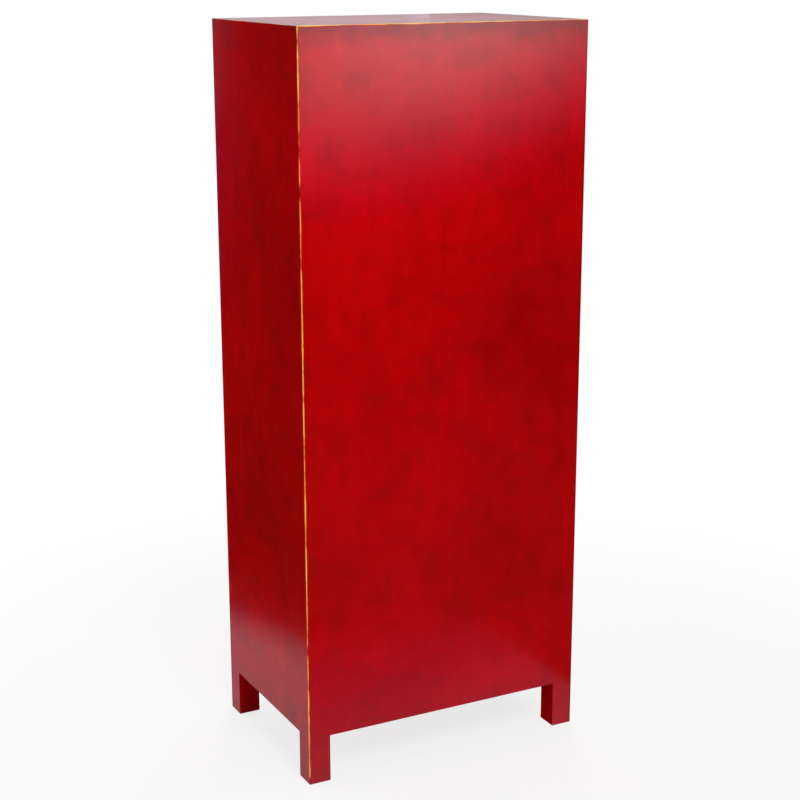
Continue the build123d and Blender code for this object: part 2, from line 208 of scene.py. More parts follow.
# Where the two boards of the back meet, and how deep a door panel's tongue sits in its frame.
BACK_JOINT = 0.16
TONGUE = 8.3 * MM

# The rubbed edges of doors and drawer fronts: how far under them the gilt would end, which is far
# enough for it to run their whole height, the width of the painted shade beside it in millimetres,
# and how much the level edges are rubbed next to the upright ones.
GILT_BELOW = 50 * MM
FRONT_EDGE_SHADE = 8
LEVEL_RUB = 0.8


def away_from(tree, axis, place):
    """Distance from the plane at a place on an axis."""
    off = add(tree, "Math", {0: axis, 1: place}, operation="SUBTRACT")
    return add(tree, "Math", {0: off}, operation="ABSOLUTE")


def nearest(tree, distances):
    """The smallest of several distances."""
    least = distances[0]
    for distance in distances[1:]:
        least = add(tree, "Math", {0: least, 1: distance}, operation="MINIMUM")
    return least


def red_coats(tree, place, clouds, strokes, mottle):
    """Thin and thick coats of red, with a few smudges where the cloth left more of the dark one."""
    look = bpy.context.scene.cabinet_lacquer
    coats = [(CLOUD_WEIGHT * mottle, clouds), (STROKE_WEIGHT * mottle, strokes)]
    for weight, span, start in BROAD_SWELLS:
        moved = add(
            tree, "Mapping", {"Vector": place, "Scale": (1 / span,) * 3, "Location": start}
        )
        swell = add(tree, "TexNoise", {"Vector": moved, "Scale": 1.0, "Detail": 1.5})
        coats.append((weight, swell))
    total = 0.0
    for weight, coat in coats:
        total = add(tree, "Math", {0: coat, 1: weight, 2: total}, operation="MULTIPLY_ADD")
    middle = 0.5 * sum(weight for weight, coat in coats)
    thinness = add(
        tree,
        "MapRange",
        {"Value": total, "From Min": middle - COAT_REACH, "From Max": middle + COAT_REACH},
    )
    body = add(
        tree, "Mix", {"Factor": thinness, "A": look.deep, "B": look.bright}, data_type="RGBA"
    )
    smudge = add(
        tree,
        "TexNoise",
        {"Vector": place, "Scale": 1.0 / look.cloud, "Detail": 7.0, "Roughness": 0.66},
    )
    smudge = add(
        tree,
        "MapRange",
        {"Value": smudge, "From Min": 0.52, "From Max": 0.8, "To Max": look.smudge},
        interpolation_type="SMOOTHSTEP",
    )
    return add(
        tree, "Mix", {"Factor": smudge, "A": body, "B": linear(SMUDGE_RED)}, data_type="RGBA"
    )


def rubbed_edges(tree, place, axes, clouds, body, edges, above):
    """Painted shade, a half-rubbed orange coat and bare gilt along the edges.

    Gives the colour, and a mask of the gilt.
    """
    look = bpy.context.scene.cabinet_lacquer
    wander = add(
        tree,
        "TexNoise",
        {"Vector": place, "Scale": 1 / GILT_WANDER, "Detail": 5.0, "Roughness": 0.65},
    )
    wander = add(
        tree,
        "MapRange",
        {"Value": wander, "From Min": 0.32, "From Max": 0.68, "To Min": 0.5, "To Max": 1.35},
    )
    foot = add(
        tree,
        "MapRange",
        {"Value": axes.outputs["Z"], "From Min": above, "From Max": above + GILT_START},
    )
    width = add(tree, "Math", {0: wander, 1: foot}, operation="MULTIPLY")

    # on either face of an edge only one of the two distances isn't nought
    reach, polished = [], []
    for axis_a, at_a, axis_b, at_b, wide, old in edges:
        off_a = away_from(tree, axes.outputs[axis_a], at_a)
        off_b = away_from(tree, axes.outputs[axis_b], at_b)
        off = add(tree, "Math", {0: off_a, 1: off_b}, operation="ADD")
        polished.append(add(tree, "Math", {0: off, 1: old * MM}, operation="DIVIDE"))
        reach.append(add(tree, "Math", {0: off, 1: wide * MM * look.rub}, operation="DIVIDE"))
    polished = nearest(tree, polished)
    reach = add(tree, "Math", {0: nearest(tree, reach), 1: width}, operation="DIVIDE")

    # painted shade darkens the lacquer beside the edges, more where the clouds are low
    polished = add(tree, "Math", {0: clouds, 1: 1.2, 2: polished}, operation="MULTIPLY_ADD")
    polished = add(
        tree,
        "MapRange",
        {"Value": polished, "From Min": 1.6, "From Max": 0.6, "To Max": look.edge_shade},
        interpolation_type="SMOOTHSTEP",
    )
    body = add(
        tree, "Mix", {"Factor": polished, "A": body, "B": linear(EDGE_SHADE_RED)}, data_type="RGBA"
    )
    gilt = add(
        tree,
        "MapRange",
        {"Value": reach, "From Min": 1.1, "From Max": 0.7},
        interpolation_type="SMOOTHSTEP",
    )
    halo = add(
        tree,
        "MapRange",
        {"Value": reach, "From Min": 1.5, "From Max": 0.95, "To Max": 0.4},
        interpolation_type="SMOOTHSTEP",
    )
    tint = add(
        tree,
        "TexNoise",
        {"Vector": place, "Scale": 1 / GILT_TURN, "Detail": 4.0, "Roughness": 0.6},
    )
    tint = add(tree, "MapRange", {"Value": tint, "From Min": 0.4, "From Max": 0.6})
    ground = add(tree, "Mix", {"Factor": tint, "A": look.gold, "B": look.orange}, data_type="RGBA")
    body = add(tree, "Mix", {"Factor": halo, "A": body, "B": look.orange}, data_type="RGBA")
    body = add(tree, "Mix", {"Factor": gilt, "A": body, "B": ground}, data_type="RGBA")
    return body, gilt


def hairlines(tree, upright, axes, body, seams):
    """Hairlines where boards meet, mostly filled by the lacquer."""
    filled = add(tree, "TexNoise", {"Vector": upright, "Scale": 1 / HAIRLINE_FILL, "Detail": 3.0})
    filled = add(
        tree, "MapRange", {"Value": filled, "From Min": 0.42, "From Max": 0.6, "To Max": 0.35}
    )
    for axis, seam in seams:
        off = away_from(tree, axes.outputs[axis], seam)
        line = add(
            tree, "MapRange", {"Value": off, "From Min": HAIRLINE_EDGE, "From Max": HAIRLINE_CORE}
        )
        line = add(tree, "Math", {0: line, 1: filled}, operation="MULTIPLY")
        body = add(
            tree, "Mix", {"Factor": line, "A": body, "B": linear(SEAM_RED)}, data_type="RGBA"
        )
    return body


def lacquer(name, edges, seams=(), above=0.0, mottle=1.0):
    """Polished red lacquer over a gilt ground, rubbed through along its edges.

    Wiped-on coats leave soft clouds and smudges of deeper red, faint upright brush strokes and a
    skin that is not quite level.  An edge is (axis, place, axis, place, width of its gilt, width of
    the painted shade beside it), the places in metres and the widths in millimetres, and the gilt
    ends at the height above.  A seam is (axis, place) where boards meet under the lacquer.  Mottle
    is the contrast of the clouds.
    """
    look = bpy.context.scene.cabinet_lacquer
    made, tree = material(name)
    place = add(tree, "TexCoord").outputs["Object"]
    axes = add(tree, "SeparateXYZ", {0: place})
    upright = add(tree, "Mapping", {"Vector": place, "Scale": (1.0, 1.0, 0.12)})
    clouds = add(
        tree,
        "TexNoise",
        {
            "Vector": place,
            "Scale": 1.0 / look.cloud,
            "Detail": 8.0,
            "Roughness": 0.68,
            "Distortion": 0.2,
        },
    )
    strokes = add(
        tree,
        "TexNoise",
        {"Vector": upright, "Scale": 3.5 / look.cloud, "Detail": 3.0, "Roughness": 0.6},
    )
    body = red_coats(tree, place, clouds, strokes, mottle)
    body, gilt = rubbed_edges(tree, place, axes, clouds, body, edges, above)
    body = hairlines(tree, upright, axes, body, seams)

    # the skin: a faint orange peel, fainter brush strokes, and the step down to the gilt
    peel = add(tree, "TexNoise", {"Vector": place, "Scale": 1 / PEEL, "Detail": 2.0})
    skin = add(tree, "Bump", {"Height": peel, "Strength": 0.02, "Distance": 0.4 * MM})
    skin = add(
        tree, "Bump", {"Height": strokes, "Strength": 0.05, "Distance": 1.0 * MM, "Normal": skin}
    )
    skin = add(
        tree, "Bump", {"Height": gilt, "Strength": 0.25, "Distance": -0.3 * MM, "Normal": skin}
    )
    polish = add(
        tree,
        "MapRange",
        {
            "Value": clouds,
            "From Min": 0.3,
            "From Max": 0.7,
            "To Min": look.gloss + 0.03,
            "To Max": look.gloss - 0.02,
        },
    )
    worn = add(tree, "Math", {0: gilt, 1: 0.25, 2: polish}, operation="MULTIPLY_ADD")
    shader = {"Base Color": body, "Roughness": worn, "IOR": 1.4, "Normal": skin}
    close(tree, add(tree, "BsdfPrincipled", shader))
    return made


def paint(nodes, made):
    """Give each named CAD node the one material."""
    for node in nodes:
        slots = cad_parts[node].data.materials
        slots.clear()
        slots.append(made)


def outline(low, high, wide):
    """The four rubbed edges round the front face of a box."""
    uprights = [("X", x, "Y", low.y, wide, FRONT_EDGE_SHADE) for x in (low.x, high.x)]
    levels = [("Z", z, "Y", low.y, wide * LEVEL_RUB, FRONT_EDGE_SHADE) for z in (low.z, high.z)]
    return uprights + levels


class CABINET_OT_lacquer_carcass(bpy.types.Operator):
    """Lacquer the posts, panels, top board and front rails"""

    bl_idname = "cabinet.lacquer_carcass"
    bl_label = "Lacquer the carcass"

    def execute(self, context):
        # hands and cloths reach one back corner and the brows of front and back most; the last
        # number is the width of the painted shade, widest below the back's top edge
        edges = [
            ("X", HALF_WIDTH, "Y", BACK, 2.15, 4),
            ("X", -HALF_WIDTH, "Y", BACK, 0.5, 9),
            ("X", HALF_WIDTH, "Y", FRONT, 0.7, 8),
            ("X", -HALF_WIDTH, "Y", FRONT, 2.2, 8),
            ("Y", BACK, "Z", HEIGHT, 1.6, 58),
            ("Y", FRONT, "Z", HEIGHT, 1.8, 20),
            ("X", HALF_WIDTH, "Z", HEIGHT, 0.8, 3),
            ("X", -HALF_WIDTH, "Z", HEIGHT, 0.8, 3),
        ]
        brow = ("Z", POST_TOP)
        back_seams = [brow] + [("X", x) for x in (PANEL_LOW.x, PANEL_HIGH.x, BACK_JOINT)]
        side_seams = [brow] + [("Y", y) for y in (SIDE_LOW.y, SIDE_HIGH.y)]
        outside = lacquer("red_lacquer_carcass", edges, [brow])
        back = lacquer("red_lacquer_back", edges, back_seams)
        sides = lacquer("red_lacquer_sides", edges, side_seams, mottle=1.3)
        paint([f"{end}_{hand}_post" for end in ("front", "back") for hand in HANDS], outside)
        paint(["top_board", "drawer_stile"], outside)
        paint([f"front_{level}_rail" for level in ("top", "middle", "bottom")], outside)
        paint(["back_panel"], back)
        paint([f"{hand}_side_panel" for hand in HANDS], sides)
        return {"FINISHED"}


class CABINET_OT_lacquer_front(bpy.types.Operator):
    """Lacquer the doors and the drawer fronts"""

    bl_idname = "cabinet.lacquer_front"
    bl_label = "Lacquer doors and drawer fronts"

    def execute(self, context):
        parts = ("hinge_stile", "meeting_stile", "top_rail", "bottom_rail", "panel")
        for hand in HANDS:
            boards = [f"{hand}_door_{part}" for part in parts]
            hinge_low, hinge_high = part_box(boards[0])
            meeting_low, meeting_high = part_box(boards[1])
            low = Vector((min(hinge_low.x, meeting_low.x), meeting_low.y, meeting_low.z))
            high = Vector((max(hinge_high.x, meeting_high.x), meeting_high.y, meeting_high.z))
            panel_low, panel_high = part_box(boards[4])
            seams = [("X", panel_low.x + TONGUE), ("X", panel_high.x - TONGUE)]
            edges = outline(low, high, wide=1.9)
            paint(boards, lacquer(f"red_lacquer_{hand}_door", edges, seams, low.z - GILT_BELOW))

            drawer = f"{hand}_drawer_front"
            low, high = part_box(drawer)
            edges = outline(low, high, wide=1.7)
            made = lacquer(f"red_lacquer_{hand}_drawer", edges, above=low.z - GILT_BELOW)
            paint([drawer], made)
        return {"FINISHED"}


# ---------------------------------------------------------------- wood
def wood(name, dark, light, along, gloss):
    """Planed wood with its grain along one axis: streaks, wavy cathedrals and open pores."""
    look = bpy.context.scene.cabinet_wood
    made, tree = material(name)
    place = add(tree, "TexCoord").outputs["Object"]
    squeeze = [1.0, 1.0, 1.0]
    squeeze["XYZ".index(along)] = 0.06
    drawn = add(tree, "Mapping", {"Vector": place, "Scale": squeeze})
    streaks = add(
        tree,
        "TexNoise",
        {
            "Vector": drawn,
            "Scale": 1 / look.grain,
            "Detail": 6.0,
            "Roughness": 0.6,
            "Distortion": 0.3,
        },
    )
    waves = add(
        tree,
        "TexNoise",
        {"Vector": drawn, "Scale": 0.18 / look.grain, "Detail": 2.0, "Distortion": 1.2},
    )
    rings = add(tree, "Math", {0: waves, 1: 60.0}, operation="MULTIPLY")
    rings = add(tree, "Math", {0: rings}, operation="SINE")
    figure = add(tree, "Math", {0: rings, 1: 0.12, 2: streaks}, operation="MULTIPLY_ADD")
    figure = add(tree, "MapRange", {"Value": figure, "From Min": 0.3, "From Max": 0.72})
    body = add(tree, "Mix", {"Factor": figure, "A": dark, "B": light}, data_type="RGBA")
    pores = add(tree, "TexNoise", {"Vector": drawn, "Scale": 4.5 / look.grain, "Detail": 2.0})
    pores = add(tree, "MapRange", {"Value": pores, "From Min": 0.42, "From Max": 0.34})
    body = add(tree, "Mix", {"Factor": pores, "A": body, "B": dark}, data_type="RGBA")
    rough = add(
        tree, "MapRange", {"Value": streaks, "To Min": gloss + 0.1, "To Max": gloss - 0.05}
    )
    skin = add(tree, "Bump", {"Height": pores, "Strength": 0.3, "Distance": -0.2 * MM})
    skin = add(
        tree, "Bump", {"Height": streaks, "Strength": 0.15, "Distance": 0.2 * MM, "Normal": skin}
    )
    shader = {"Base Color": body, "Roughness": rough, "Normal": skin}
    close(tree, add(tree, "BsdfPrincipled", shader))
    return made


class CABINET_OT_wood_inside(bpy.types.Operator):
    """Stain the frame and shelf inside, and leave the drawer boxes as planed elm"""

    bl_idname = "cabinet.wood_inside"
    bl_label = "Wood inside"

    def execute(self, context):
        look = context.scene.cabinet_wood
        back_rails = [f"back_{level}_rail" for level in ("top", "middle", "bottom")]
        side_parts = ("top_rail", "bottom_rail", "shelf_cleat")
        stained = {
            "X": back_rails + ["compartment_floor", "shelf", "door_stop"],
            "Y": [f"{hand}_{part}" for hand in HANDS for part in side_parts],
        }
        for along, nodes in stained.items():
            name = f"stained_elm_{along.lower()}"
            paint(nodes, wood(name, look.stain_dark, look.stain_light, along, gloss=0.45))

        across = [f"{hand}_drawer_{part}" for hand in HANDS for part in ("back", "bottom")]
        sides = [f"{hand}_drawer_{part}_side" for hand in HANDS for part in ("inner", "outer")]
        runners = [f"{place}_drawer_runner" for place in ("left", "centre", "right")]
        bare = {"X": ["dust_board"] + across, "Y": ["drawer_guide"] + sides + runners}
        for along, nodes in bare.items():
            name = f"planed_elm_{along.lower()}"
            paint(nodes, wood(name, look.bare_dark, look.bare_light, along, gloss=0.6))
        return {"FINISHED"}


# ---------------------------------------------------------------- brass
# Thickness of the brass sheet, and how far in from a plate's rim its ring of nails stands.
SHEET = 1.5 * MM
LOCK_RING, PULL_RING = 21.3 * MM, 8.5 * MM

# Beads on each half of the lock plate, and how far up and down from level they go, in degrees.
BEADS, BEAD_ARC = 48, 88

# Where the nails stand, in degrees up from level.
LOCK_NAILS = (-75, -45, -15, 15, 45, 75)
PULL_NAILS = (45, 135, 225, 315)

# Edges sharper than this stay sharp where a piece is shaded smooth.
SHARP = math.radians(35)

# Points nearer than this are one.
TOUCHING = 1e-6

# A run of a turned profile that is longer than the first gets points this close to its ends, in
# millimetres.
LONG_RUN, RUN_END = 3, 0.4

# Widths of a blotch, a speck and a file scratch in the brass.
BLOTCH, SPECK, SCRATCH = 30 * MM, 3 * MM, 1.2 * MM


def brass(name, grime):
    """Cast and hand-filed brass, darkened in blotches; grime is how much of it has tarnished."""
    look = bpy.context.scene.cabinet_brass
    made, tree = material(name)
    place = add(tree, "TexCoord").outputs["Object"]
    blotch = add(
        tree,
        "TexNoise",
        {"Vector": place, "Scale": 1 / BLOTCH, "Detail": 6.0, "Roughness": 0.65},
    )
    speck = add(tree, "TexNoise", {"Vector": place, "Scale": 1 / SPECK, "Detail": 3.0})
    darkness = add(tree, "Math", {0: speck, 1: 0.35, 2: blotch}, operation="MULTIPLY_ADD")
    darkness = add(
        tree, "MapRange", {"Value": darkness, "From Min": 0.5, "From Max": 0.9, "To Max": grime}
    )
    body = add(
        tree, "Mix", {"Factor": darkness, "A": look.metal, "B": look.tarnish}, data_type="RGBA"
    )
    filed = add(tree, "Mapping", {"Vector": place, "Scale": (1.0, 1.0, 0.1)})
    scratch = add(tree, "TexNoise", {"Vector": filed, "Scale": 1 / SCRATCH, "Detail": 2.0})
    rough = add(tree, "Math", {0: darkness, 1: 0.22, 2: 0.26}, operation="MULTIPLY_ADD")
    rough = add(tree, "Math", {0: scratch, 1: 0.1, 2: rough}, operation="MULTIPLY_ADD")
    skin = add(tree, "Bump", {"Height": blotch, "Strength": 0.12, "Distance": 0.6 * MM})
    skin = add(
        tree, "Bump", {"Height": scratch, "Strength": 0.06, "Distance": 0.1 * MM, "Normal": skin}
    )
    shader = {"Base Color": body, "Metallic": 1.0, "Roughness": rough, "Normal": skin}
    close(tree, add(tree, "BsdfPrincipled", shader))
    return made


def piece(name, shape, body, made, stands_for=()):
    """Turn a finished bmesh into a piece, shaded smooth, that rides on a body."""
    mesh = bpy.data.meshes.new(name)
    bmesh.ops.recalc_face_normals(shape, faces=shape.faces)
    shape.to_mesh(mesh)
    shape.free()
    for face in mesh.polygons:
        face.use_smooth = True
    mesh.set_sharp_from_angle(angle=SHARP)
    mesh.materials.append(made)
    thing = bpy.data.objects.new(name, mesh)
    bpy.context.scene.collection.objects.link(thing)
    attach(thing, body)
    if stands_for:
        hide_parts(*stands_for)


def turned(shape, profile, centre, steps):
    """Turn a profile of (radius, depth) points, from axis to axis, about a line along Y.

    The line goes through centre.  Each long run gets a point close to either end, so that it stays
    flat where it is shaded smooth.
    """
    points = [Vector((radius, depth, 0)) for radius, depth in profile]
    run = [points[0]]
    for start, end in zip(points, points[1:]):
        step = end - start
        if step.length > LONG_RUN * MM:
            hold = step.normalized() * RUN_END * MM
            run += [start + hold, end - hold]
        run.append(end)
    corners = [shape.verts.new(point) for point in run]
    edges = [shape.edges.new(pair) for pair in zip(corners, corners[1:])]
    bmesh.ops.spin(
        shape,
        geom=corners + edges,
        cent=(0, 0, 0),
        axis=(0, 1, 0),
        angle=math.tau,
        steps=steps,
        use_merge=True,
    )
    bmesh.ops.remove_doubles(shape, verts=shape.verts, dist=TOUCHING)
    bmesh.ops.translate(shape, verts=shape.verts, vec=centre)


def dome(shape, centre, radius, rise, segments):
    """Add one domed head whose flat side lies on the plane through centre, facing the front."""
    made = bmesh.ops.create_uvsphere(shape, u_segments=segments, v_segments=8, radius=radius)
    verts = made["verts"]
    below = [v for v in verts if v.co.z < -TOUCHING]
    bmesh.ops.delete(shape, geom=below, context="VERTS")
    verts = [v for v in verts if v.is_valid]
    rim = list({e for v in verts for e in v.link_edges if e.is_boundary})
    bmesh.ops.holes_fill(shape, edges=rim, sides=0)
    bmesh.ops.scale(shape, vec=(1, 1, rise / radius), verts=verts)
    to_front = Matrix.Rotation(math.radians(90), 3, "X")
    bmesh.ops.rotate(shape, cent=(0, 0, 0), matrix=to_front, verts=verts)
    bmesh.ops.translate(shape, vec=centre, verts=verts)


def round_plate(out, degrees):
    """How far across and up a spot lies, so far out from the centre and at an angle from level."""
    angle = math.radians(degrees)
    return math.cos(angle) * out, math.sin(angle) * out


class CABINET_OT_lock_plates(bpy.types.Operator):
    """Model the two halves of the round lock plate with their rolled rim, beads and nails"""

    bl_idname = "cabinet.lock_plates"
    bl_label = "Lock plates"

    def execute(self, context):
        look = context.scene.cabinet_brass
        made = brass("aged_brass_plate", grime=0.75)
        heads = brass("aged_brass_nails", grime=0.4)
        for hand, side in HANDS.items():
            low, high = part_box(f"{hand}_lock_plate")
            radius = (high.z - low.z) / 2
            centre = Vector((0, high.y, (high.z + low.z) / 2))
            face = -SHEET
            rise = face - 1.0 * MM
            profile = [
                # flat back and rolled rim
                (0, 0),
                (radius - 0.4 * MM, 0),
                (radius, face / 2),
                (radius - 0.3 * MM, rise + 0.5 * MM),
                (radius - 1.6 * MM, rise),
                (radius - 3.4 * MM, rise),
                (radius - 4.6 * MM, rise + 0.4 * MM),
                (radius - 5.4 * MM, face),
                # a fine ridge on either side of the beads
                (radius - 11.0 * MM, face),
                (radius - 11.8 * MM, face - 0.5 * MM),
                (radius - 12.6 * MM, face),
                (radius - 30.0 * MM, face),
                (radius - 30.8 * MM, face - 0.5 * MM),
                (radius - 31.6 * MM, face),
                # raised ring round the middle
                (39.0 * MM, face),
                (38.0 * MM, rise + 0.3 * MM),
                (36.6 * MM, rise),
                (34.4 * MM, rise),
                (33.0 * MM, rise + 0.3 * MM),
                (32.0 * MM, face),
                (0, face),
            ]
            shape = bmesh.new()
            turned(shape, profile, centre, steps=144)
            edge = low.x if side > 0 else high.x
            cut = bmesh.ops.bisect_plane(
                shape,
                geom=shape.verts[:] + shape.edges[:] + shape.faces[:],
                plane_co=(edge, 0, 0),
                plane_no=(-side, 0, 0),
                clear_outer=True,
            )
            rim = [g for g in cut["geom_cut"] if isinstance(g, bmesh.types.BMEdge)]
            bmesh.ops.edgenet_fill(shape, edges=rim)
            plate_y = centre.y + face
            ring = radius - LOCK_RING
            for step in range(BEADS):
                degrees = -BEAD_ARC + step * 2 * BEAD_ARC / (BEADS - 1)
                across, up = round_plate(ring, degrees)
                spot = Vector((side * across, plate_y, centre.z + up))
                dome(shape, spot, look.bead / 2, rise=0.9 * MM, segments=8)
            name = f"{hand}_lock_plate"
            piece(f"{name}_brass", shape, f"{hand}_door", made, [name])

            nails = bmesh.new()
            for degrees in LOCK_NAILS:
                across, up = round_plate(ring, degrees)
                spot = Vector((side * across, plate_y, centre.z + up))
                dome(nails, spot, look.nail / 2, rise=3.2 * MM, segments=20)
            piece(f"{name}_nails", nails, f"{hand}_door", heads)
        return {"FINISHED"}


class CABINET_OT_hardware(bpy.types.Operator):
    """Give the lugs, pin, eyelets and rings their brass, and nail on the pull plates"""

    bl_idname = "cabinet.hardware"
    bl_label = "Lugs, pin and pulls"

    def execute(self, context):
        look = context.scene.cabinet_brass
        worn = brass("aged_brass_handled", grime=0.35)
        made = brass("aged_brass_small_plate", grime=0.7)
        paint(["left_lock_lugs", "right_lock_lug", "lock_pin"], worn)
        for hand in HANDS:
            paint([f"{hand}_pull_eyelet", f"{hand}_pull_ring"], worn)
            low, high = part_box(f"{hand}_pull_plate")
            radius = (high.z - low.z) / 2
            centre = Vector(((low.x + high.x) / 2, high.y, (high.z + low.z) / 2))
            face = -SHEET
            profile = [
                # flat back and rounded rim
                (0, 0),
                (radius - 0.3 * MM, 0),
                (radius, face / 2),
                (radius - 0.4 * MM, face - 0.2 * MM),
                (radius - 1.4 * MM, face - 0.6 * MM),
                (radius - 2.6 * MM, face - 0.2 * MM),
                (radius - 3.2 * MM, face),
                # raised boss under the eyelet
                (14.5 * MM, face),
                (13.2 * MM, face - 0.8 * MM),
                (11.5 * MM, face - 1.0 * MM),
                (0, face - 1.0 * MM),
            ]
            shape = bmesh.new()
            turned(shape, profile, centre, steps=72)
            name = f"{hand}_pull_plate"
            piece(f"{name}_brass", shape, f"{hand}_drawer", made, [name])

            nails = bmesh.new()
            for degrees in PULL_NAILS:
                across, up = round_plate(radius - PULL_RING, degrees)
                spot = centre + Vector((across, face, up))
                dome(nails, spot, look.small_nail / 2, rise=1.6 * MM, segments=14)
            piece(f"{name}_nails", nails, f"{hand}_drawer", worn)
        return {"FINISHED"}


# ---------------------------------------------------------------- studio
# Half the side of the paper, between which distances from the middle it turns plain white, and
# how far it has turned before.
FLOOR_HALF = 30.0
PAPER_NEAR, PAPER_FAR, PAPER_GLOW = 0.9, 2.1, 0.78

# Soft square lamps: place, the point that it faces, side in metres, power as a share of the key.
LAMPS = {
    "key_lamp": ((0.48, 2.2, 2.56), (0.8, 0.2, 0.41), 0.9, 1.04),
    "side_lamp": ((2.6, -2.0, 1.77), (0.4, 0.0, 1.0), 1.2, 0.6),
    "low_lamp": ((0.65, 0.55, 0.01), (0.65, 0.55, 1.0), 0.5, 0.008),
    "fill_lamp": ((-1.3, -2.3, 2.3), (0, -0.2, 1.1), 1.4, 1.06),
    "top_lamp": ((0, 0, 4.2), (0, 0, 1.8), 2.0, 0.53),
}

# Cards stand round the cabinet: their height, how far the front and back ones stand from the
# middle, half the width of each, and where the outer front ones end.
CARD_HIGH, CARD_OFF = 2.7, 1.1
FRONT_HALF, BACK_HALF, DUSK_END = 0.61, 1.5, 1.3

# The feet of the right side card, front and back; the left one is its mirror image.
SIDE_FRONT, SIDE_BACK = (0.63, -0.99), (1.06, CARD_OFF)

# A wing beside each back corner keeps the bright back card out of the sides where they are seen
# from the front: its two ends across, how far behind the cabinet it stands, and its height.
WING_NEAR, WING_FAR, WING_BEHIND, WING_HIGH = 0.377, 0.889, 1 * MM, 1.79

# Mats on the floor, seen only in reflections as painted floor and painted shadow: how far across
# the side ones reach at the back, how far across the back one reaches, the inner end of the black
# one on top of it, and the heights at which mats lie.
SIDE_MAT, BACK_MAT, FAR_MAT = 0.87, 1.2, 0.5
LOW_MAT, MIDDLE_MAT, HIGH_MAT = 2 * MM, 3 * MM, 4 * MM

# Cards turn pale between two heights, so that the top of the cabinet mirrors pale paper; the outer
# front ones start lower.
PALE_FROM, PALE_FULL = 1.78, 1.86
DUSK_PALE_FROM = 1.25
CARD_TINT = "#ECF0F8"

# A glow is a soft patch of light on a card: its middle, half its width and height in metres, its
# brightness, how far it leans as it rises, the colours of its fringe and its middle, and the
# shares of its fade where the fringe ends and the middle starts.  All glows fade by one power and
# end at one height.
GLOW_FULL, GLOW_END = 1.78, 1.84
GLOW_FALL = 1.9
BACK_GLOW = {
    "x": -0.56,
    "z": 1.9,
    "half_wide": 1.2,
    "half_high": 0.72,
    "bright": 7.9,
    "lean": 0.75,
    "fringe": "#5C70FF",
    "middle": "#E0F8FF",
    "fringe_end": 0.08,
    "middle_start": 0.55,
}
FRONT_GLOW = {
    "x": 0.0,
    "z": 1.55,
    "half_wide": 1.5,
    "half_high": 1.5,
    "bright": 1.7,
    "lean": 0.0,
    "fringe": "#FFE2B8",
    "middle": "#FFEED8",
    "fringe_end": 0.08,
    "middle_start": 0.55,
}
DUSK_GLOW = {
    "x": 0.7,
    "z": 1.9,
    "half_wide": 0.22,
    "half_high": 1.4,
    "bright": 1.9,
    "lean": 0.0,
    "fringe": "#1828FF",
    "middle": "#D8E4FF",
    "fringe_end": 0.5,
    "middle_start": 0.75,
}

# The camera's place from the middle of the cabinet's foot, its turn in degrees, and the width of
# its sensor in millimetres.
CAMERA_PLACE = (1.8828, 3.6234, 1.953)
CAMERA_TURN = (90 - 14.96, 0.10, 152.47)
SENSOR = 36.0


def seen_directly(tree):
    """1 for rays from the lens and in reflections, 0 for those that light other things."""
    rays = add(tree, "LightPath").outputs
    seen = add(
        tree, "Math", {0: rays["Is Camera Ray"], 1: rays["Is Glossy Ray"]}, operation="MAXIMUM"
    )
    return add(tree, "Math", {0: seen, 1: rays["Is Transmission Ray"]}, operation="MAXIMUM")


def paper(name, tint):
    """Seamless paper, white to the lens and in reflections, that keeps the cabinet's shadow."""
    made, tree = material(name)
    place = add(tree, "TexCoord").outputs["Object"]
    away = add(tree, "VectorMath", {0: place}, operation="LENGTH").outputs["Value"]
    glowing = add(
        tree,
        "MapRange",
        {
            "Value": away,
            "From Min": PAPER_NEAR,
            "From Max": PAPER_FAR,
            "To Min": PAPER_GLOW,
            "To Max": 1.0,
        },
        interpolation_type="SMOOTHSTEP",
    )
    lit = add(tree, "BsdfDiffuse", {"Color": tint})
    glow = add(tree, "Emission", {"Color": (1, 1, 1, 1), "Strength": 1.0})
    lifted = add(tree, "MixShader", {0: glowing, 1: lit, 2: glow})
    close(tree, add(tree, "MixShader", {0: seen_directly(tree), 1: lit, 2: lifted}))
    return made


def lamp(name, place, aim, side, power):
    """A large soft lamp that faces a point and isn't itself mirrored in the lacquer."""
    data = bpy.data.lights.new(name, "AREA")
    data.shape = "RECTANGLE"
    data.size = data.size_y = side
    data.energy = power
    thing = bpy.data.objects.new(name, data)
    thing.location = place
    thing.rotation_euler = (Vector(aim) - Vector(place)).to_track_quat("-Z", "Y").to_euler()
    thing.visible_glossy = False
    thing.visible_camera = False
    bpy.context.scene.collection.objects.link(thing)


